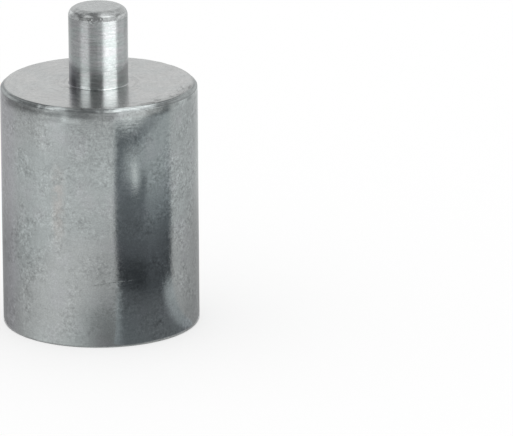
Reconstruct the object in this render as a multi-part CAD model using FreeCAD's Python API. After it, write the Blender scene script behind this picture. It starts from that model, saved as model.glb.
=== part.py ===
import FreeCAD, Part
import math
import os

# Deep pot holding magnet with a plain fitting pin. All sizes are in millimetres.
# The origin is the middle of the magnetic face, and +Z runs up through the pin.

# Pot
body_diameter = 20.0
body_height = 25.0
pot_wall = 1.8
pot_floor = 6.0
shoulder_chamfer = 0.4
shoulder_edge_round = 0.12
rim_edge_round = 0.15
bore_mouth_chamfer = 0.08
bore_corner_round = 0.3

# Pin
pin_diameter = 6.0
pin_height = 8.0
pin_bevel_width = 0.7
pin_bevel_height = 0.45
pin_edge_round = 0.2
pin_root_round = 0.2

# Spacer ring and magnet core
adhesive_gap = 0.05
ring_wall = 1.15
ring_edge_chamfer = 0.05
core_face_chamfer = 0.1
core_seat_chamfer = 0.4

# Derived sizes
body_radius = body_diameter / 2
bore_radius = body_radius - pot_wall
bore_depth = body_height - pot_floor
pin_radius = pin_diameter / 2
pin_top = body_height + pin_height
ring_outer_radius = bore_radius - adhesive_gap
ring_inner_radius = ring_outer_radius - ring_wall
core_radius = ring_inner_radius - adhesive_gap
ring_seat_chamfer = bore_corner_round + adhesive_gap

axis_point = FreeCAD.Vector(0, 0, 0)
axis_direction = FreeCAD.Vector(0, 0, 1)


def rounded_corner(before, corner, after, radius):
    """Start, middle and end of the arc that rounds one corner of a profile."""
    towards_before = (before - corner).normalize()
    towards_after = (after - corner).normalize()
    half_angle = towards_before.getAngle(towards_after) / 2
    reach = radius / math.tan(half_angle)
    inwards = (towards_before + towards_after).normalize()
    middle = corner + inwards * (radius / math.sin(half_angle) - radius)
    return corner + towards_before * reach, middle, corner + towards_after * reach


def turned(profile):
    """Solid of revolution from (radius, height, corner round) points listed in order."""
    corners = [FreeCAD.Vector(radius, 0, height) for radius, height, _ in profile]
    arcs = []
    for index, (_, _, corner_round) in enumerate(profile):
        corner = corners[index]
        if corner_round > 0:
            following = corners[(index + 1) % len(corners)]
            arcs.append(rounded_corner(corners[index - 1], corner, following, corner_round))
        else:
            arcs.append((corner, corner, corner))
    edges = []
    for index, (start, middle, end) in enumerate(arcs):
        if (end - start).Length > 0:
            edges.append(Part.Arc(start, middle, end).toShape())
        following_start = arcs[(index + 1) % len(arcs)][0]
        edges.append(Part.makeLine(end, following_start))
    face = Part.Face(Part.Wire(edges))
    return face.revolve(axis_point, axis_direction, 360)


# Steel pot with its pin, turned from one bar: the pin end first, then down the outside,
# across the rim and up into the blind bore
pot_body = turned([
    (0, pin_top, 0),
    (pin_radius - pin_bevel_width, pin_top, pin_edge_round),
    (pin_radius, pin_top - pin_bevel_height, pin_edge_round),
    (pin_radius, body_height, pin_root_round),
    (body_radius - shoulder_chamfer, body_height, shoulder_edge_round),
    (body_radius, body_height - shoulder_chamfer, shoulder_edge_round),
    (body_radius, 0, rim_edge_round),
    (bore_radius + bore_mouth_chamfer, 0, 0),
    (bore_radius, bore_mouth_chamfer, 0),
    (bore_radius, bore_depth, bore_corner_round),
    (0, bore_depth, 0),
])

# Brass sleeve that keeps the magnet off the steel wall, seated on the bore floor
spacer_ring = turned([
    (ring_outer_radius - ring_edge_chamfer, 0, 0),
    (ring_outer_radius, ring_edge_chamfer, 0),
    (ring_outer_radius, bore_depth - ring_seat_chamfer, 0),
    (ring_outer_radius - ring_seat_chamfer, bore_depth, 0),
    (ring_inner_radius, bore_depth, 0),
    (ring_inner_radius, ring_edge_chamfer, 0),
    (ring_inner_radius + ring_edge_chamfer, 0, 0),
])

# Magnet rod inside the sleeve, flush with the rim at the magnetic face
magnet_core = turned([
    (0, 0, 0),
    (core_radius - core_face_chamfer, 0, 0),
    (core_radius, core_face_chamfer, 0),
    (core_radius, bore_depth - core_seat_chamfer, 0),
    (core_radius - core_seat_chamfer, bore_depth, 0),
    (0, bore_depth, 0),
])

os.makedirs("parts", exist_ok=True)
pot_body.exportStep("parts/pot_body.step")
spacer_ring.exportStep("parts/spacer_ring.step")
magnet_core.exportStep("parts/magnet_core.step")
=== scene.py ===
"""Looks of a deep pot holding magnet with a plain pin, standing on its magnetic face."""

import math

import bpy
from mathutils import Matrix, Vector, noise


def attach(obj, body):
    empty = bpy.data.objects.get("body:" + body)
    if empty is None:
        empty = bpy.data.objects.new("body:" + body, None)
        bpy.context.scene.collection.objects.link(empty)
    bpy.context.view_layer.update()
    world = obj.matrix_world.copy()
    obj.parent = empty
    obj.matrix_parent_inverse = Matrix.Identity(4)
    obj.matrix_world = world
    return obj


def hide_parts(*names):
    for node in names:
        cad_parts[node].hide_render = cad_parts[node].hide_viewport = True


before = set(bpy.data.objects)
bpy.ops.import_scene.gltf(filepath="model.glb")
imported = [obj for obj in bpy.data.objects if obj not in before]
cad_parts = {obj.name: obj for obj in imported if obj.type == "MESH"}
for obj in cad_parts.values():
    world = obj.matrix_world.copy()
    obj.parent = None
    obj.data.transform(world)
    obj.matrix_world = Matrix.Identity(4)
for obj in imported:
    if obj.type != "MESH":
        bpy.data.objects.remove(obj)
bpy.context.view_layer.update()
scene = bpy.context.scene

# Sizes in millimetres, as in the CAD source
MM = 0.001
BODY_R = 10.0
BODY_H = 25.0
PIN_R = 3.0
PIN_TOP = 33.0
PIN_BEVEL_W = 0.7
PIN_BEVEL_H = 0.45
BORE_R = 8.2
BORE_DEPTH = 19.0
RING_OUT = 8.15
RING_IN = 7.0
CORE_R = 6.95
RING_SEAT_BEVEL = 0.35
CORE_SEAT_BEVEL = 0.4

# Camera of the photograph: picture width and focal length in pixels, place in body radii, turns in degrees
FRAME_W = 513
FOCAL_PX = 7000.0
SENSOR_W = 36.0
CAMERA_SIDE = 1.5869
CAMERA_BACK = 68.0288
CAMERA_UP = 21.9954
CAMERA_PITCH = 17.1104
CAMERA_ROLL = -0.3253


def make_camera():
    data = bpy.data.cameras.new("camera")
    data.sensor_fit = "HORIZONTAL"
    data.sensor_width = SENSOR_W
    data.lens = SENSOR_W * FOCAL_PX / FRAME_W
    data.clip_start = 0.05
    data.clip_end = 20.0
    camera = bpy.data.objects.new("camera", data)
    scene.collection.objects.link(camera)
    pitch, roll = math.radians(CAMERA_PITCH), math.radians(CAMERA_ROLL)
    forward = Vector((0, math.cos(pitch), -math.sin(pitch)))
    right = Vector((1, 0, 0))
    down = forward.cross(right)
    turned_right = right * math.cos(roll) - down * math.sin(roll)
    turned_down = right * math.sin(roll) + down * math.cos(roll)
    turn = Matrix((turned_right, -turned_down, -forward)).transposed()
    place = Vector((CAMERA_SIDE, -CAMERA_BACK, CAMERA_UP)) * BODY_R * MM
    camera.matrix_world = Matrix.Translation(place) @ turn.to_4x4()
    scene.camera = camera


# Small number helpers

def smooth(low, high, value):
    """0 below low, 1 above high, with a soft step between. Low may be above high."""
    t = min(1.0, max(0.0, (value - low) / (high - low)))
    return t * t * (3 - 2 * t)


def window(low, high, soft, value):
    """1 between low and high, falling softly to 0 over the given width outside them."""
    return smooth(low - soft, low, value) * (1 - smooth(high, high + soft, value))


def blend(a, b, t):
    return a + (b - a) * t


def along(keys, value):
    """Smooth curve through (place, level) keys listed in order."""
    for (a, low), (b, high) in zip(keys, keys[1:]):
        if value <= b:
            return blend(low, high, smooth(a, b, value))
    return keys[-1][1]


def bell(value, middle, width):
    return math.exp(-((value - middle) / width) ** 2)


# Lathe meshes

def round_points(before, corner, after, radius, steps):
    """Points of the arc that rounds one corner of a profile."""
    a, c, b = Vector(before), Vector(corner), Vector(after)
    to_a, to_b = (a - c).normalized(), (b - c).normalized()
    half = to_a.angle(to_b) / 2
    middle = c + (to_a + to_b).normalized() * (radius / math.sin(half))
    first = c + to_a * (radius / math.tan(half)) - middle
    last = c + to_b * (radius / math.tan(half)) - middle
    total = first.angle(last)
    side = 1 if first.x * last.y - first.y * last.x > 0 else -1
    points = []
    for step in range(steps + 1):
        angle = side * total * step / steps
        cos, sin = math.cos(angle), math.sin(angle)
        points.append((middle.x + first.x * cos - first.y * sin, middle.y + first.x * sin + first.y * cos))
    return points


def rounded_profile(corners):
    """(radius, height, zone) points from (radius, height, round, round steps, spacing, zone) corners.
    Spacing and zone belong to the straight that leads to the corner, and the zone to its round as well."""
    profile = []
    last = None
    for index, (r, z, rounding, steps, spacing, zone) in enumerate(corners):
        if rounding > 0:
            arc = round_points(corners[index - 1][:2], (r, z), corners[index + 1][:2], rounding, steps)
        else:
            arc = [(r, z)]
        if last is not None:
            count = max(1, round(math.hypot(arc[0][0] - last[0], arc[0][1] - last[1]) / spacing))
            for step in range(1, count):
                t = step / count
                profile.append((blend(last[0], arc[0][0], t), blend(last[1], arc[0][1], t), zone))
        profile.append((*arc[0], zone))
        profile += [(*point, zone) for point in arc[1:]]
        last = arc[-1]
    return profile


def lathe(name, profile, segments, shape, materials, closed=False):
    """Mesh of a (radius, height, zone) profile turned about Z. shape(r, z, angle) gives the small move of a point
    along the radius and the height, and the zone picks the face's material."""
    verts, faces, zones, rows = [], [], [], []
    for r, z, _ in profile:
        if r < 1e-6:
            rows.append([len(verts)] * segments)
            verts.append((0, 0, z * MM))
            continue
        row = []
        for index in range(segments):
            angle = 2 * math.pi * index / segments
            dr, dz = shape(r, z, angle)
            row.append(len(verts))
            verts.append(((r + dr) * MM * math.cos(angle), (r + dr) * MM * math.sin(angle), (z + dz) * MM))
        rows.append(row)
    pairs = [(rows[k], rows[k + 1], profile[k + 1][2]) for k in range(len(rows) - 1)]
    if closed:
        pairs.append((rows[-1], rows[0], profile[0][2]))
    for upper, lower, zone in pairs:
        for index in range(segments):
            following = (index + 1) % segments
            corners = [upper[index], lower[index], lower[following], upper[following]]
            face = list(dict.fromkeys(corners))
            if len(face) > 2:
                faces.append(face)
                zones.append(zone)
    mesh = bpy.data.meshes.new(name)
    mesh.from_pydata(verts, [], faces)
    mesh.polygons.foreach_set("material_index", zones)
    for material in materials:
        mesh.materials.append(material)
    mesh.shade_smooth()
    piece = bpy.data.objects.new(name, mesh)
    scene.collection.objects.link(piece)
    return piece


# Materials

class Surface:
    """A metal material being wired up, with coordinates in millimetres in the part's own frame."""

    def __init__(self, name):
        self.material = bpy.data.materials.new(name)
        self.material.use_nodes = True
        self.tree = self.material.node_tree
        self.shader = self.tree.nodes["Principled BSDF"]
        self.shader.inputs["Metallic"].default_value = 1.0
        place = self.tree.nodes.new("ShaderNodeTexCoord").outputs["Object"]
        self.mm = self.vector("MULTIPLY", place, (1000, 1000, 1000))
        self.xyz = self.node("ShaderNodeSeparateXYZ", self.mm).outputs
        flat = self.vector("MULTIPLY", self.mm, (1, 1, 0))
        self.radius = self.node("ShaderNodeVectorMath", flat, operation="LENGTH").outputs["Value"]
        self.around = self.vector("NORMALIZE", flat)

    def node(self, kind, *values, **settings):
        node = self.tree.nodes.new(kind)
        for key, value in settings.items():
            setattr(node, key, value)
        for socket, value in zip(node.inputs, values):
            self.put(socket, value)
        return node

    def put(self, socket, value):
        if isinstance(value, bpy.types.NodeSocket):
            self.tree.links.new(value, socket)
        elif value is not None:
            socket.default_value = value

    def vector(self, operation, a, b=None):
        return self.node("ShaderNodeVectorMath", a, b, operation=operation).outputs["Vector"]

    def math(self, operation, a, b=None, c=None):
        return self.node("ShaderNodeMath", a, b, c, operation=operation).outputs["Value"]

    def noise(self, place, scale, detail=2.0, rough=0.5, seed=0.0):
        node = self.tree.nodes.new("ShaderNodeTexNoise")
        self.put(node.inputs["Vector"], self.vector("ADD", place, (seed, seed * 0.7, -seed)))
        node.inputs["Scale"].default_value = scale
        node.inputs["Detail"].default_value = detail
        node.inputs["Roughness"].default_value = rough
        return node.outputs["Fac"]

    def ramp(self, value, low, high, out_low=0.0, out_high=1.0):
        """Soft step from out_low to out_high as the value goes from low to high."""
        node = self.node("ShaderNodeMapRange", value, low, high, out_low, out_high, interpolation_type="SMOOTHSTEP")
        return node.outputs["Result"]

    def line(self, value, low, high, out_low, out_high):
        return self.node("ShaderNodeMapRange", value, low, high, out_low, out_high).outputs["Result"]

    def band(self, value, low, high, soft):
        """One between low and high, fading to zero outside."""
        rise, fall = self.ramp(value, low - soft, low + soft), self.ramp(value, high - soft, high + soft, 1.0, 0.0)
        return self.math("MULTIPLY", rise, fall)

    def near(self, value, middle, inner, outer):
        """One close to the middle, fading to zero between the inner and the outer distance from it."""
        return self.ramp(self.math("ABSOLUTE", self.math("SUBTRACT", value, middle)), inner, outer, 1.0, 0.0)

    def vary(self, amount, pattern, low, high):
        """Amount times low to high over the usual range of a noise."""
        return self.math("MULTIPLY", amount, self.line(pattern, 0.3, 0.7, low, high))

    def tone(self, amount, masks, factor):
        """Amount taken to factor times itself where all the masks are one."""
        mask = masks[0]
        for other in masks[1:]:
            mask = self.math("MULTIPLY", mask, other)
        return self.math("MULTIPLY", amount, self.line(mask, 0.0, 1.0, 1.0, factor))

    def mix(self, amount, a, b):
        node = self.tree.nodes.new("ShaderNodeMix")
        node.data_type = "RGBA"
        self.put(node.inputs["Factor"], amount)
        self.put(node.inputs["A"], a if isinstance(a, bpy.types.NodeSocket) else (*a, 1))
        self.put(node.inputs["B"], b if isinstance(b, bpy.types.NodeSocket) else (*b, 1))
        return node.outputs["Result"]

    def shade(self, color, amount):
        """Colour times a grey amount."""
        grey = self.node("ShaderNodeCombineXYZ", amount, amount, amount).outputs["Vector"]
        return self.vector("MULTIPLY", color, grey)

    def ring_place(self, length, across):
        """Coordinates for marks left by turning: long round the axis, fine across it.
        Across is the socket that runs over the marks, a radius or a height."""
        lie = self.vector("MULTIPLY", self.around, (length, length, 0))
        rise = self.node("ShaderNodeCombineXYZ", 0.0, 0.0, across).outputs["Vector"]
        return self.vector("ADD", lie, rise)

    def bump(self, height, depth_mm, below=None):
        node = self.tree.nodes.new("ShaderNodeBump")
        node.inputs["Strength"].default_value = 1.0
        node.inputs["Distance"].default_value = depth_mm * MM
        self.put(node.inputs["Height"], height)
        if below is not None:
            self.put(node.inputs["Normal"], below)
        return node.outputs["Normal"]

    def finish(self, color, roughness, normal=None):
        self.put(self.shader.inputs["Base Color"], color)
        self.put(self.shader.inputs["Roughness"], roughness)
        if normal is not None:
            self.put(self.shader.inputs["Normal"], normal)
        return self.material


def zinc_side():
    """Zinc plating on the pot's side: cool grey with a patchy mottle, a warm streak and one scratch."""
    s = Surface("zinc_side")
    x, z = s.xyz["X"], s.xyz["Z"]
    fine = s.noise(s.mm, 3.2, 5.0, 0.75, 3.1)
    dust = s.noise(s.mm, 8.5, 2.0, 0.6, 44.0)
    grain = s.noise(s.mm, 1.4, 2.0, 0.5, 9.4)
    cloud = s.noise(s.mm, 0.34, 2.0, 0.55, 17.0)
    wide = s.noise(s.mm, 0.11, 1.0, 0.5, 5.0)
    lines = s.noise(s.ring_place(1.2, z), 4.0, 2.0, 0.5, 2.0)
    hairs = s.near(s.noise(s.mm, 1.2, 3.0, 0.65, 23.0), 0.5, 0.0, 0.022)
    hairs = s.math("MULTIPLY", hairs, s.ramp(s.noise(s.mm, 0.5, 2.0, 0.5, 61.0), 0.47, 0.6))
    tint = s.mix(s.ramp(wide, 0.38, 0.62), (0.366, 0.39, 0.388), (0.377, 0.391, 0.388))
    tint = s.mix(s.ramp(cloud, 0.5, 0.72, 0.0, 0.5), tint, (0.372, 0.376, 0.386))
    tint = s.mix(s.ramp(x, -9.2, -7.8, 0.75, 0.0), tint, (0.372, 0.367, 0.386))
    streak = s.math("MULTIPLY", s.near(x, -4.0, 0.1, 1.0), s.near(z, 14.8, 1.5, 5.5))
    streak = s.math("MULTIPLY", streak, s.ramp(grain, 0.3, 0.6, 0.2, 0.9))
    tint = s.mix(streak, tint, (0.394, 0.387, 0.376))
    uneven = s.ramp(s.math("ABSOLUTE", x), 3.0, 9.5, 1.0, 1.7)
    uneven = s.math("MULTIPLY", uneven, s.ramp(s.noise(s.mm, 0.42, 1.0, 0.5, 83.0), 0.38, 0.62, 0.4, 1.5))
    speck = s.math("MULTIPLY", s.ramp(s.noise(s.mm, 2.7, 2.0, 0.6, 52.0), 0.58, 0.68), s.ramp(uneven, 0.7, 1.6))
    mottle = s.math("ADD", s.line(fine, 0.3, 0.7, -0.19, 0.19), s.line(grain, 0.3, 0.7, -0.06, 0.06))
    amount = s.math("MULTIPLY_ADD", mottle, uneven, s.line(cloud, 0.3, 0.7, 0.95, 1.05))
    amount = s.vary(amount, dust, 0.89, 1.11)
    amount = s.tone(amount, [speck], 0.87)
    amount = s.vary(amount, lines, 0.975, 1.025)
    amount = s.tone(amount, [hairs], 0.86)
    # Painted shade under the shoulder at the left and the right, and a painted highlight on a stretch left of the
    # middle
    amount = s.tone(amount, [s.ramp(z, 23.3, 24.4), s.ramp(x, -7.2, -5.8, 1.0, 0.0)], 0.56)
    amount = s.tone(amount, [s.band(z, 23.4, 24.4, 0.2), s.band(x, -6.0, -3.4, 0.4)], 0.8)
    amount = s.tone(amount, [s.ramp(z, 23.6, 24.1), s.band(x, 4.9, 7.4, 0.5)], 0.64)
    amount = s.tone(amount, [s.band(z, 23.5, 24.3, 0.2), s.band(x, -3.6, -1.7, 0.3)], 1.25)
    scratch = scratch_mask(s)
    amount = s.tone(amount, [scratch], 0.88)
    rough = s.line(fine, 0.3, 0.7, 0.08, 0.16)
    rough = s.math("ADD", rough, s.line(cloud, 0.3, 0.7, -0.015, 0.035))
    rough = s.math("ADD", rough, s.line(scratch, 0.0, 1.0, 0.0, 0.18))
    height = s.math("ADD", fine, s.math("MULTIPLY", lines, 0.5))
    height = s.math("SUBTRACT", height, s.math("MULTIPLY", scratch, 0.6))
    return s.finish(s.shade(tint, amount), rough, s.bump(height, 0.0065))


def scratch_mask(s):
    """One thin scratch low on the front, running nearly round the pot and rising to the right."""
    x, y, z = s.xyz["X"], s.xyz["Y"], s.xyz["Z"]
    wander = s.line(s.noise(s.mm, 0.9, 2.0, 0.5, 31.0), 0.0, 1.0, -0.1, 0.1)
    curve = s.math("MULTIPLY_ADD", x, s.math("MULTIPLY_ADD", x, -0.02, 0.17), 6.62)
    thin = s.near(s.math("SUBTRACT", z, curve), wander, 0.03, 0.1)
    reach = s.near(x, 1.5, 1.4, 2.7)
    front = s.ramp(y, -8.0, -7.0, 1.0, 0.0)
    broken = s.ramp(s.noise(s.mm, 1.7, 1.0, 0.5, 12.0), 0.36, 0.5)
    return s.math("MULTIPLY", s.math("MULTIPLY", thin, reach), s.math("MULTIPLY", front, broken))


def zinc_edge():
    """Narrow bevel between side and shoulder: smoother, with fine turned lines and small nicks, and painted
    highlights and shade.
    """
    s = Surface("zinc_edge")
    x, z = s.xyz["X"], s.xyz["Z"]
    lines = s.noise(s.ring_place(0.5, z), 9.0, 1.0, 0.5, 2.6)
    nicks = s.noise(s.mm, 2.4, 3.0, 0.6, 14.0)
    amount = s.line(nicks, 0.3, 0.7, 0.86, 1.14)
    amount = s.vary(amount, lines, 0.88, 1.12)
    amount = s.tone(amount, [s.near(z, 24.62, 0.03, 0.09)], 0.93)
    # Painted highlights low on the bevel, and painted shade left of the middle
    low = s.band(z, 24.67, 24.83, 0.02)
    amount = s.tone(amount, [low, s.band(x, -6.0, -3.1, 0.3)], 1.8)
    amount = s.tone(amount, [low, s.band(x, 1.7, 5.8, 0.3)], 2.0)
    amount = s.tone(amount, [s.ramp(z, 24.8, 24.87, 0.4, 1.0), s.band(x, -3.2, -1.3, 0.25)], 0.6)
    # Painted shade towards the right and the left ends of the bevel
    right = s.node("ShaderNodeVectorMath", s.around, (0.906, -0.423, 0), operation="DOT_PRODUCT").outputs["Value"]
    amount = s.math("MULTIPLY", amount, s.ramp(right, 0.86, 0.95, 1.0, 0.76))
    amount = s.math("MULTIPLY", amount, s.ramp(x, -9.3, -7.6, 0.72, 1.0))
    rough = s.line(nicks, 0.3, 0.7, 0.12, 0.22)
    height = s.math("ADD", s.math("MULTIPLY", nicks, 0.5), lines)
    return s.finish(s.shade((0.38, 0.4, 0.4), amount), rough, s.bump(height, 0.006))


def zinc_shoulder():
    """Plated shoulder: smoother, with facing marks round the pin, small dull specks and scuffs at the right."""
    s = Surface("zinc_shoulder")
    marks = s.noise(s.ring_place(1.3, s.radius), 3.0, 3.0, 0.55, 4.0)
    fine = s.noise(s.mm, 3.4, 4.0, 0.7, 7.7)
    cloud = s.noise(s.mm, 0.45, 2.0, 0.5, 21.0)
    streak = s.noise(s.vector("MULTIPLY", s.mm, (0.6, 1.5, 1.0)), 1.2, 3.0, 0.6, 27.0)
    speck = s.ramp(s.noise(s.mm, 1.9, 2.0, 0.6, 40.0), 0.62, 0.7)
    arcs = s.ramp(s.noise(s.ring_place(0.35, s.radius), 3.0, 1.0, 0.5, 33.0), 0.5, 0.62)
    arcs = s.math("MULTIPLY", arcs, s.ramp(s.radius, 3.8, 5.6, 1.0, 0.0))
    right = s.node("ShaderNodeVectorMath", s.around, (0.82, -0.57, 0), operation="DOT_PRODUCT").outputs["Value"]
    right = s.ramp(right, 0.8, 0.95)
    scuff = s.ramp(s.noise(s.ring_place(4.0, s.radius), 1.9, 3.0, 0.7, 70.0), 0.52, 0.6)
    scuff = s.math("MULTIPLY", s.math("MULTIPLY", scuff, right), s.ramp(s.radius, 7.9, 9.0))
    worn = s.math("MULTIPLY", right, s.ramp(s.radius, 8.7, 9.3))
    edge = s.near(s.radius, 9.52, 0.02, 0.1)
    tint = s.mix(s.ramp(cloud, 0.4, 0.6), (0.41, 0.414, 0.412), (0.424, 0.421, 0.417))
    amount = s.line(fine, 0.3, 0.7, 0.82, 1.18)
    amount = s.vary(amount, s.noise(s.mm, 8.5, 2.0, 0.6, 31.0), 0.92, 1.08)
    amount = s.vary(amount, marks, 0.92, 1.08)
    amount = s.vary(amount, streak, 0.93, 1.07)
    amount = s.tone(amount, [speck], 0.86)
    amount = s.tone(amount, [arcs], 0.84)
    amount = s.tone(amount, [scuff], 0.64)
    amount = s.tone(amount, [worn], 0.76)
    amount = s.tone(amount, [edge], 0.86)
    # Dashes in front of the pin, and painted highlight and shade patches there that brighten and dim the pin's
    # reflection
    x, y = s.xyz["X"], s.xyz["Y"]
    front = s.ramp(y, -3.2, -2.4, 1.0, 0.0)
    dashes = s.ramp(s.noise(s.vector("MULTIPLY", s.mm, (0.5, 2.2, 1.0)), 1.7, 2.0, 0.6, 55.0), 0.53, 0.62)
    amount = s.tone(amount, [dashes, s.band(x, -2.8, 3.2, 0.4), front], 0.8)
    amount = s.tone(amount, [s.band(x, -1.8, -0.9, 0.3), front], 0.96)
    amount = s.tone(amount, [s.band(x, 0.5, 1.85, 0.4), front], 1.08)
    amount = s.tone(amount, [s.band(x, 0.5, 1.85, 0.3), s.ramp(y, -6.5, -4.5), front], 1.15)
    amount = s.tone(amount, [s.ramp(x, -2.4, -2.0, 1.0, 0.0), s.ramp(x, -3.4, -2.8), front], 1.12)
    rough = s.math("ADD", s.line(fine, 0.3, 0.7, 0.18, 0.27), s.line(scuff, 0.0, 1.0, 0.0, 0.12))
    height = s.math("ADD", s.math("MULTIPLY", fine, 0.45), s.math("MULTIPLY", marks, 0.8))
    height = s.math("ADD", height, s.math("MULTIPLY", streak, 0.6))
    return s.finish(s.shade(tint, amount), rough, s.bump(height, 0.007))


def turned_pin():
    """Pin wall: bright turned steel under thin plating, with fine lines round it, a purplish stain low at the left,
    painted shade at the left of the foot and painted highlights up the front.
    """
    s = Surface("turned_pin")
    x, y, z = s.xyz["X"], s.xyz["Y"], s.xyz["Z"]
    lines = s.noise(s.ring_place(0.42, z), 4.8, 4.0, 0.7, 8.0)
    broad = s.noise(s.ring_place(0.9, z), 1.6, 2.0, 0.5, 15.0)
    fine = s.noise(s.mm, 4.0, 3.0, 0.7, 6.0)
    tint = s.mix(s.ramp(broad, 0.4, 0.6), (0.38, 0.403, 0.4), (0.4, 0.403, 0.408))
    stain = s.math("MULTIPLY", s.ramp(x, -2.6, -1.6, 1.0, 0.0), s.ramp(z, 25.6, 28.4, 1.0, 0.0))
    tint = s.mix(s.math("MULTIPLY", stain, 0.6), tint, (0.34, 0.335, 0.385))
    amount = s.line(lines, 0.3, 0.7, 0.85, 1.15)
    amount = s.vary(amount, fine, 0.92, 1.08)
    # Painted shade at the left of the foot
    amount = s.tone(amount, [s.ramp(z, 25.5, 26.5, 1.0, 0.0), s.ramp(x, -2.4, -2.05, 1.0, 0.0)], 0.52)
    # Two painted highlight stretches up the front, brightest at the foot
    front = s.ramp(y, -0.8, 0.0, 1.0, 0.0)
    foot = s.math("MULTIPLY", s.ramp(z, 26.55, 27.05, 1.0, 0.0), front)
    amount = s.tone(amount, [foot, s.band(x, -1.82, -0.8, 0.14)], 1.65)
    amount = s.tone(amount, [foot, s.band(x, 0.5, 1.9, 0.14)], 1.67)
    amount = s.tone(amount, [front, s.band(x, 0.45, 1.95, 0.2)], 1.35)
    amount = s.tone(amount, [front, s.ramp(z, 27.0, 27.3), s.band(x, -1.82, -0.8, 0.2)], 1.1)
    # Foot round with a painted highlight at the left and painted shade in the middle, and painted shade in the
    # middle above it
    amount = s.tone(amount, [s.band(z, 25.12, 25.26, 0.05), s.band(x, -1.8, -0.85, 0.08)], 1.25)
    amount = s.tone(amount, [s.ramp(z, 25.14, 25.2, 1.0, 0.0), s.band(x, -0.75, -0.05, 0.12)], 0.7)
    amount = s.tone(amount, [s.band(z, 26.95, 30.0, 0.35), s.band(x, -0.85, 0.0, 0.15)], 0.83)
    rough = s.line(lines, 0.3, 0.7, 0.15, 0.27)
    height = s.math("ADD", lines, s.math("MULTIPLY", fine, 0.15))
    s.shader.inputs["Anisotropic"].default_value = 0.6
    tangent = s.node("ShaderNodeTangent", direction_type="RADIAL", axis="Z").outputs["Tangent"]
    s.put(s.shader.inputs["Tangent"], tangent)
    return s.finish(s.shade(tint, amount), rough, s.bump(height, 0.006))


def pin_end():
    """Faced end of the pin and its bevel."""
    s = Surface("pin_end")
    x, z = s.xyz["X"], s.xyz["Z"]
    marks = s.noise(s.ring_place(0.8, s.radius), 3.0, 2.0, 0.5, 11.0)
    fine = s.noise(s.vector("MULTIPLY", s.mm, (0.6, 1.5, 1.2)), 3.0, 3.0, 0.65, 13.0)
    amount = s.line(fine, 0.3, 0.7, 0.76, 1.24)
    amount = s.vary(amount, s.noise(s.mm, 8.5, 2.0, 0.6, 36.0), 0.9, 1.1)
    amount = s.vary(amount, marks, 0.91, 1.09)
    amount = s.tone(amount, [s.band(s.radius, 2.3, 2.42, 0.05)], 0.9)
    # Bevel: painted shade over its low glints, painted highlights above them, and painted highlights at the far
    # left and far right
    left, right = s.band(x, -1.85, -0.7, 0.15), s.band(x, 0.35, 2.0, 0.15)
    amount = s.tone(amount, [left, s.band(z, 32.19, 32.5, 0.05)], 0.46)
    amount = s.tone(amount, [right, s.band(z, 32.19, 32.5, 0.05)], 0.72)
    amount = s.tone(amount, [left, s.band(z, 32.54, 32.75, 0.05)], 1.3)
    amount = s.tone(amount, [right, s.band(z, 32.56, 32.8, 0.05)], 1.4)
    amount = s.tone(amount, [s.ramp(x, -2.1, -1.8, 1.0, 0.0), s.band(z, 32.1, 32.66, 0.06)], 1.65)
    amount = s.tone(amount, [s.ramp(x, 1.7, 2.1), s.band(z, 32.1, 32.5, 0.06)], 1.35)
    rough = s.line(fine, 0.3, 0.7, 0.2, 0.3)
    height = s.math("ADD", s.math("MULTIPLY", fine, 0.6), marks)
    return s.finish(s.shade((0.392, 0.4, 0.4), amount), rough, s.bump(height, 0.008))


def ground_face(name, dark, light, patch, seed, roughness):
    """Ground magnetic face: straight grinding scratches all one way, with cloudy stains."""
    s = Surface(name)
    turn = s.node("ShaderNodeVectorRotate", s.mm, rotation_type="Z_AXIS")
    turn.inputs["Angle"].default_value = math.radians(52)
    stroke = s.vector("MULTIPLY", turn.outputs["Vector"], (0.16, 1.6, 1.0))
    scratches = s.noise(stroke, 3.0, 4.0, 0.65, seed)
    cloud = s.noise(s.mm, 0.35, 3.0, 0.6, seed + 3)
    fine = s.noise(s.mm, 3.5, 3.0, 0.6, seed + 8)
    tint = s.mix(s.ramp(cloud, 0.38, 0.64), dark, light)
    tint = s.mix(s.ramp(s.noise(s.mm, 0.22, 2.0, 0.5, seed + 14), 0.52, 0.7, 0.0, 0.7), tint, patch)
    amount = s.math("MULTIPLY", s.line(scratches, 0.3, 0.7, 0.86, 1.14), s.line(fine, 0.3, 0.7, 0.9, 1.1))
    rough = s.line(scratches, 0.3, 0.7, roughness - 0.06, roughness + 0.08)
    return s.finish(s.shade(tint, amount), rough, s.bump(scratches, 0.008))


# The pot with its pin

SIDE, EDGE, SHOULDER, PIN_WALL, PIN_END, RIM = range(6)
POT_SEGMENTS, INNER_SEGMENTS = 288, 192
ROLL_TOP, ROLL_DEPTH, ROLL_DROP = BODY_H - 0.45, 0.03, 0.85

# Plating nodules near the pin's end: angle from the front in degrees, height, radius, rise
NODULES = [(-19, 32.2, 0.11, 0.03), (-15, 32.35, 0.1, 0.035), (-12.5, 32.08, 0.13, 0.03), (-9, 32.3, 0.12, 0.04),
           (-5.5, 32.12, 0.1, 0.03), (-1.5, 32.27, 0.13, 0.035), (2.5, 32.08, 0.1, 0.03), (5.5, 32.36, 0.12, 0.04),
           (8.5, 32.18, 0.1, 0.03), (11, 32.4, 0.11, 0.035), (-7, 31.9, 0.09, 0.02), (0.5, 31.86, 0.08, 0.02)]

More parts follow.
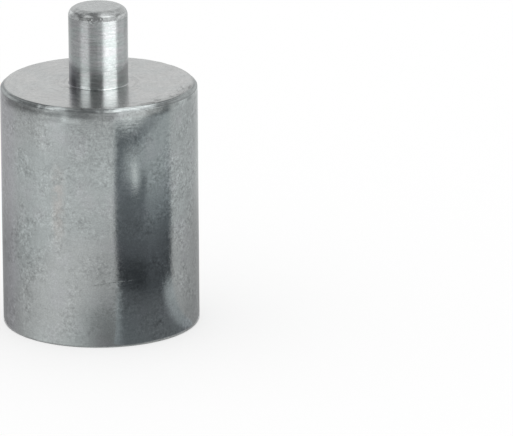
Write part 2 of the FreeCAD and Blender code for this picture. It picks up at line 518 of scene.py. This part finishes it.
pot_profile = rounded_profile([
    (0, PIN_TOP, 0, 0, 1.0, PIN_END),
    (PIN_R - PIN_BEVEL_W, PIN_TOP, 0.9, 8, 0.5, PIN_END),
    (PIN_R, PIN_TOP - PIN_BEVEL_H, 0.85, 20, 0.1, PIN_END),
    (PIN_R, PIN_TOP - 1.5, 0, 0, 0.055, PIN_WALL),  # fine rows here carry the nodules
    (PIN_R, BODY_H, 0.09, 5, 0.3, PIN_WALL),
    (BODY_R - 0.41, BODY_H, 0.05, 4, 0.5, SHOULDER),
    (BODY_R - 0.29, BODY_H - 0.12, 0, 0, 0.1, EDGE),
    (BODY_R - 0.287, BODY_H - 0.14, 0, 0, 0.1, EDGE),
    (BODY_R, BODY_H - 0.38, 0.07, 4, 0.1, EDGE),
    (BODY_R, BODY_H - 1.6, 0, 0, 0.12, SIDE),
    (BODY_R, 0, 0.15, 4, 1.0, SIDE),
    (BORE_R + 0.08, 0, 0, 0, 0.4, RIM),
    (BORE_R, 0.08, 0, 0, 0.2, RIM),
    (BORE_R, BORE_DEPTH, 0, 0, 4.0, RIM),
    (0, BORE_DEPTH, 0, 0, 4.0, RIM),
])


def pot_shape(r, z, angle):
    """Wear of the pot: a soft roll of the side into the shoulder, an uneven bevel and nodules on the pin."""
    dr, dz = 0.0, 0.0
    if r > BODY_R - 0.5 and z > 1.0:
        dr -= ROLL_DEPTH * smooth(ROLL_TOP - ROLL_DROP, ROLL_TOP, z) ** 2
        if z > BODY_H - 0.6:
            spot = Vector((math.cos(angle) * 9.0, math.sin(angle) * 9.0, 3.0))
            scuffed = window(35, 70, 15, math.degrees(angle) + 90)
            wear = max(0.0, noise.fractal(spot, 1.0, 2.0, 3)) * (0.025 + 0.05 * scuffed) + 0.02 * scuffed
            dr -= wear
            dz -= wear
    elif PIN_R - 0.25 < r < PIN_R + 0.01 and z > PIN_TOP - 1.4:
        turn = math.degrees(angle) + 90
        turn -= 360 * round(turn / 360)
        for place, height, radius, rise in NODULES:
            off = math.hypot(math.radians(turn - place) * PIN_R, z - height) / radius
            if off < 1:
                dr += rise * (1 - off * off) ** 2
    return dr, dz


def face_shape(r, z, angle):
    """Worn edges of the ring and the core at the magnetic face."""
    if z > 0.3 or r < 1.0:
        return 0.0, 0.0
    wear = noise.fractal(Vector((math.cos(angle) * r, math.sin(angle) * r, 8.0)), 1.0, 2.0, 3)
    return 0.0, 0.012 * max(0.0, wear)


make_camera()
pot_materials = [
    zinc_side(),
    zinc_edge(),
    zinc_shoulder(),
    turned_pin(),
    pin_end(),
    ground_face("ground_rim", (0.125, 0.12, 0.115), (0.175, 0.168, 0.16), (0.15, 0.138, 0.125), 2.0, 0.36),
]
pot = lathe("pot_shell", pot_profile, POT_SEGMENTS, pot_shape, pot_materials)
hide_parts("pot_body")
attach(pot, "root")

# The ring and the core, both closed tubes or rods whose face shows below
ring_profile = [(r, z, 0) for r, z in [
    (RING_OUT - 0.05, 0.012), (RING_OUT - 0.015, 0.027), (RING_OUT, 0.06), (RING_OUT, 6.0), (RING_OUT, 12.0),
    (RING_OUT, BORE_DEPTH - RING_SEAT_BEVEL), (RING_OUT - RING_SEAT_BEVEL, BORE_DEPTH),
    (RING_IN, BORE_DEPTH), (RING_IN, 12.0), (RING_IN, 6.0),
    (RING_IN, 0.06), (RING_IN + 0.015, 0.027), (RING_IN + 0.05, 0.012), (RING_IN + 0.35, 0.012),
    (RING_IN + 0.7, 0.012), (RING_OUT - 0.3, 0.012)]]
core_profile = [(0.0, 0.0, 0)] + [(0.5 * k, 0.0, 0) for k in range(1, 14)] + [(r, z, 0) for r, z in [
    (CORE_R - 0.12, 0.0), (CORE_R - 0.06, 0.02), (CORE_R - 0.015, 0.06), (CORE_R, 0.12),
    (CORE_R, 6.0), (CORE_R, 12.0),
    (CORE_R, BORE_DEPTH - CORE_SEAT_BEVEL), (CORE_R - CORE_SEAT_BEVEL, BORE_DEPTH), (0.0, BORE_DEPTH)]]
brass = ground_face("dull_brass", (0.165, 0.135, 0.09), (0.215, 0.18, 0.12), (0.2, 0.14, 0.1), 51.0, 0.38)
alloy = ground_face("ground_magnet", (0.105, 0.101, 0.097), (0.15, 0.145, 0.139), (0.125, 0.115, 0.105), 71.0, 0.33)
for name, profile, material, node, slot in (("ring_sleeve", ring_profile, brass, "spacer_ring", "brass_spacer"),
                                            ("core_rod", core_profile, alloy, "magnet_core", "magnet_alloy")):
    closed = node == "spacer_ring"
    piece = lathe(name, list(reversed(profile)), INNER_SEGMENTS, face_shape, [material], closed)
    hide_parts(node)
    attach(piece, "root")


# Studio: a white room whose painted walls only the metal's reflections see

def painted_card(name, point, paint, columns, rows):
    """Glowing card over a grid. point(u, v) gives its place in millimetres and paint(u, v) its colour."""
    verts, faces, colors = [], [], []
    for j in range(rows + 1):
        for i in range(columns + 1):
            u, v = i / columns, j / rows
            verts.append(tuple(c * MM for c in point(u, v)))
            colors.append(paint(u, v))
    for j in range(rows):
        for i in range(columns):
            k = j * (columns + 1) + i
            faces.append((k, k + 1, k + columns + 2, k + columns + 1))
    mesh = bpy.data.meshes.new(name)
    mesh.from_pydata(verts, [], faces)
    attribute = mesh.color_attributes.new("paint", "FLOAT_COLOR", "POINT")
    attribute.data.foreach_set("color", [c for level in colors for c in (*level, 1.0)])
    mesh.materials.append(paint_material)
    piece = bpy.data.objects.new(name, mesh)
    scene.collection.objects.link(piece)
    piece.visible_camera = False
    piece.visible_diffuse = False
    piece.visible_transmission = False
    piece.visible_shadow = False
    return piece


def around(azimuth, distance, height):
    """Point at an azimuth in degrees from the camera's side (-Y), turning towards +X."""
    turn = math.radians(azimuth)
    return (distance * math.sin(turn), -distance * math.cos(turn), height)


def grey(level, cool=0.0):
    return (level * (1 - 0.05 * cool), level, level * (1 + 0.06 * cool * max(0.0, 1 - level)))


paint_material = bpy.data.materials.new("painted_card")
paint_material.use_nodes = True
paint_tree = paint_material.node_tree
paint_tree.nodes.clear()
paint_color = paint_tree.nodes.new("ShaderNodeVertexColor")
paint_color.layer_name = "paint"
paint_glow = paint_tree.nodes.new("ShaderNodeEmission")
paint_out = paint_tree.nodes.new("ShaderNodeOutputMaterial")
paint_tree.links.new(paint_color.outputs["Color"], paint_glow.inputs["Color"])
paint_tree.links.new(paint_glow.outputs["Emission"], paint_out.inputs["Surface"])

# Distance of the walls, height of the ceiling, and the painted floor's inner and outer radius
WALL = 122.0
CEILING = 262.0
FLOOR_IN, FLOOR_OUT = 10.2, 215

# Levels of the floor by the turn of the mirrored view ray: next to the pot, further out and far out
NEAR = [(-180, 0.33), (-152, 0.36), (-137, 0.48), (-120, 0.63), (-93, 0.84), (-69, 1.03), (-47, 1.0),
        (-37, 0.95), (-28, 0.86), (-18, 0.74), (-9, 0.54), (0, 0.42), (8, 0.37), (40, 0.4), (75, 0.66),
        (100, 0.68), (128, 0.5), (150, 0.42), (180, 0.38)]
CLOSE = [(-180, 0.37), (-152, 0.41), (-137, 0.52), (-120, 0.66), (-93, 0.83), (-69, 1.02), (-47, 1.05),
         (-28, 1.0), (-18, 0.96), (-9, 0.9), (0, 0.8), (8, 0.74), (40, 0.76), (75, 0.8),
         (100, 0.78), (128, 0.62), (150, 0.5), (180, 0.42)]
FAR = [(-180, 0.56), (-152, 0.61), (-137, 0.74), (-120, 0.88), (-93, 0.93), (-69, 1.07), (-47, 1.08), (-28, 1.02),
       (0, 1.03), (15, 1.06), (30, 1.02), (80, 0.9), (112, 0.86), (128, 0.78), (150, 0.7), (180, 0.62)]


def mirrored(azimuth, distance):
    """Turn of the mirrored view ray that lands on a floor point, and its reach.
    The ray is the one that the pot's side mirrors when seen from the front."""
    side = abs(azimuth)
    low, high = side / 2, min(90.0, side / 2 + 45)
    for _ in range(24):
        middle = (low + high) / 2
        if distance * math.sin(math.radians(2 * middle - side)) < BODY_R * math.sin(math.radians(middle)):
            low = middle
        else:
            high = middle
    start = around(low, BODY_R, 0)
    place = around(side, distance, 0)
    return math.copysign(2 * low, azimuth), BODY_R + math.hypot(place[0] - start[0], place[1] - start[1])


def sectors(azimuth, rest, left_dark, left_light, front, right_light, right_dark):
    """Level of the room's painted walls by azimuth."""
    level = blend(rest, left_dark, window(-125, -74, 6, azimuth))
    level = blend(level, left_light, window(-65, -38, 4, azimuth))
    level = blend(level, front, window(-31, 17, 4, azimuth))
    level = blend(level, right_light, window(24, 73, 4, azimuth))
    return blend(level, right_dark, window(82, 117, 5, azimuth))


def floor_paint(u, v):
    azimuth, distance = u * 360 - 180, floor_distance(v)
    turn, reach = mirrored(azimuth, distance)
    level = blend(along(NEAR, turn), along(CLOSE, turn), smooth(14, 34, reach))
    level = blend(level, along(FAR, turn), smooth(36, 66, reach))
    if abs(azimuth) > 150:
        level = blend(level, 0.8, smooth(150, 172, abs(azimuth)))
    level = blend(level, 0.78, window(-63, -36, 4, azimuth) * smooth(78, 88, distance))
    rise = smooth(94, 110, distance)
    front = 0.28 + 0.17 * smooth(98, 112, distance) + 0.12 * smooth(-15, 15, azimuth)
    beyond = sectors(azimuth, 0.85, 0.42 + 0.5 * rise, 1.6, front, 3.0, 0.68 + 0.72 * rise)
    level = blend(level, beyond, smooth(90, 96, distance))
    if -33 < azimuth < 19:
        level = blend(level, 0.9, window(99.5, 102, 1.5, distance))
        level = blend(level, 0.74, smooth(102.5, 104, distance))
    return grey(blend(level, horizon(azimuth), smooth(109, 117, distance)), 0.3)


def horizon(azimuth):
    return sectors(azimuth, 0.62, 0.48, 0.72, 0.36 + 0.3 * smooth(-20, 10, azimuth), 1.15, 0.8)


def wall_paint(u, v):
    azimuth, height = u * 360 - 180, v * CEILING
    middle = sectors(azimuth, 1.0, 0.5, 1.7, 0.46, 1.75, 0.95)
    high = sectors(azimuth, 0.95, 0.3, 1.1, 0.35, 1.7, 0.55)
    level = blend(horizon(azimuth), middle, smooth(27, 46, height))
    level = blend(level, high, smooth(76, 98, height))
    return grey(blend(level, 1.0, smooth(190, 235, height) * window(-180, -60, 5, azimuth)), 0.3)


# Levels of the ceiling by the distance to the right of the pot
CEILING_KEYS = [(-122, 0.5), (-80, 0.42), (-55, 0.3), (-25, 0.25), (0, 0.32),
                (15, 1.05), (28, 1.6), (42, 1.3), (60, 0.75), (122, 0.85)]


def ceiling_paint(u, v):
    across = v * WALL * math.sin(math.radians(u * 360 - 180))
    return grey(along(CEILING_KEYS, across), 0.3)


def floor_distance(v):
    return FLOOR_IN * (FLOOR_OUT / FLOOR_IN) ** v


painted_card("studio_floor", lambda u, v: around(u * 360 - 180, floor_distance(v), 0.02), floor_paint, 180, 100)
painted_card("studio_wall", lambda u, v: around(u * 360 - 180, WALL, v * CEILING), wall_paint, 180, 40)
painted_card("studio_ceiling", lambda u, v: around(u * 360 - 180, max(0.1, v * WALL), CEILING),
             ceiling_paint, 120, 16)

# Near flag, right of the front, seen as the dark band on the pot's side
FLAG_LEFT, FLAG_RIGHT, FLAG_H = Vector((8.4, -28.7)), Vector((27.6, -5.9)), 20.5

# Sideways shift of its left edge by height, as a share of its length
FLAG_EDGE = [(0.5, 0.016), (3, 0), (5, -0.024), (9, -0.018), (13, -0.018), (16, -0.03)]


def flag_point(u, v):
    place = FLAG_LEFT.lerp(FLAG_RIGHT, u + (1 - u) * along(FLAG_EDGE, v * FLAG_H))
    return (place.x, place.y, v * FLAG_H)


# Levels by height: on the left part of the flag and on the right part
FLAG_LEFT_RISE = [(0, 0.16), (1, 0.08), (3, 0.07), (5, 0.18), (7, 0.21), (9, 0.24), (11.3, 0.24),
                  (13, 0.68), (15, 0.7), (20.5, 0.62)]
FLAG_RIGHT_RISE = [(0, 0.15), (1.5, 0.13), (3, 0.13), (5, 0.18), (7, 0.26), (9, 0.38), (11, 0.52),
                   (13, 0.66), (16, 0.74), (20.5, 0.74)]

# Height of the middle of the dark stripe that climbs to the right
STRIPE = [(0.0, 16.2), (0.2, 16.6), (0.39, 17.3), (0.48, 17.9), (0.58, 18.8), (0.7, 19.5), (1.0, 20.3)]


def flag_paint(u, v):
    """Dark at the foot, a pale spot beside a dark one half way up, then a climbing dark stripe and light above."""
    height = v * FLAG_H
    level = blend(along(FLAG_LEFT_RISE, height), along(FLAG_RIGHT_RISE, height), smooth(0.42, 0.56, u))
    level = blend(level, 0.4, smooth(0.24, 0.14, u) * smooth(10.5, 13, height))
    level = blend(level, 0.28, smooth(0.14, 0.07, u) * smooth(4, 10, height))
    level = blend(level, 0.22, bell(u, 0.47, 0.03) * window(11.5, 13.2, 0.8, height))
    level = blend(level, 1.5, bell(u, 0.34, 0.035) * window(12.2, 13.8, 0.8, height))
    middle = along(STRIPE, u)
    stripe = window(middle - 0.7, middle + 0.7, 0.8, height)
    level = blend(level, blend(0.2, 0.5, smooth(0.2, 0.75, u)), stripe)
    above = blend(1.05, 1.35, bell(u, 0.3, 0.2))
    level = blend(level, above, smooth(middle + 0.9, middle + 1.8, height))
    level = blend(level, 0.95, smooth(0.96, 1.0, u) * smooth(7, 12, height))
    level = blend(level, 1.0, smooth(0.06, 0.03, u) * smooth(12, 16, height))
    return grey(level, 2.1 - 1.5 * min(1.0, level))


painted_card("near_flag", flag_point, flag_paint, 60, 60)


# Painted shadow on the floor between the pot and the near flag, seen only in the metal's reflections
PATCH_LEFT, PATCH_RIGHT, PATCH_IN = Vector((1.6, -10.6)), Vector((10.8, -2.2)), 10.3


def patch_point(u, v):
    outer = FLAG_LEFT.lerp(FLAG_RIGHT, u)
    inner = PATCH_LEFT.lerp(PATCH_RIGHT, u)
    if inner.length < PATCH_IN:
        inner = inner.normalized() * PATCH_IN
    place = inner.lerp(outer, v)
    return (place.x, place.y, 0.06)


def patch_paint(u, v):
    dark = smooth(0.0, 0.12, u) * smooth(0.86, 0.72, u)
    return grey(blend(blend(0.5, 0.75, v), blend(0.27, 0.2, v), dark), 1.4)


painted_card("painted_floor_shadow", patch_point, patch_paint, 30, 12)

world = bpy.data.worlds.new("studio")
scene.world = world
world.use_nodes = True
background = world.node_tree.nodes["Background"]
background.inputs["Color"].default_value = (1, 1, 1, 1)
background.inputs["Strength"].default_value = 1.0

# Floor: most of its white comes as plain background for the camera, so that the shadow stays light
FLOOR_PLAIN_SHARE = 0.62
floor_material = bpy.data.materials.new("floor")
floor_material.use_nodes = True
floor_tree = floor_material.node_tree
floor_shader = floor_tree.nodes["Principled BSDF"]
floor_shader.inputs["Base Color"].default_value = (1, 1, 1, 1)
floor_shader.inputs["Roughness"].default_value = 1.0
floor_shader.inputs["Specular IOR Level"].default_value = 0.0
floor_white = floor_tree.nodes.new("ShaderNodeEmission")
floor_white.inputs["Color"].default_value = (1, 1, 1, 1)
floor_white.inputs["Strength"].default_value = 1.0
floor_camera = floor_tree.nodes.new("ShaderNodeLightPath")
floor_share = floor_tree.nodes.new("ShaderNodeMath")
floor_share.operation = "MULTIPLY"
floor_share.inputs[1].default_value = FLOOR_PLAIN_SHARE
floor_mix = floor_tree.nodes.new("ShaderNodeMixShader")
floor_tree.links.new(floor_camera.outputs["Is Camera Ray"], floor_share.inputs[0])
floor_tree.links.new(floor_share.outputs["Value"], floor_mix.inputs["Fac"])
floor_tree.links.new(floor_shader.outputs["BSDF"], floor_mix.inputs[1])
floor_tree.links.new(floor_white.outputs["Emission"], floor_mix.inputs[2])
floor_tree.links.new(floor_mix.outputs["Shader"], floor_tree.nodes["Material Output"].inputs["Surface"])
FLOOR_HALF, FLOOR_Z = 3.0, -0.00003
floor_mesh = bpy.data.meshes.new("floor")
floor_mesh.from_pydata([(-FLOOR_HALF, -FLOOR_HALF, FLOOR_Z), (FLOOR_HALF, -FLOOR_HALF, FLOOR_Z),
                        (FLOOR_HALF, FLOOR_HALF, FLOOR_Z), (-FLOOR_HALF, FLOOR_HALF, FLOOR_Z)], [], [(0, 1, 2, 3)])
floor_mesh.materials.append(floor_material)
floor = bpy.data.objects.new("floor", floor_mesh)
scene.collection.objects.link(floor)

scene.view_settings.view_transform = "Standard"
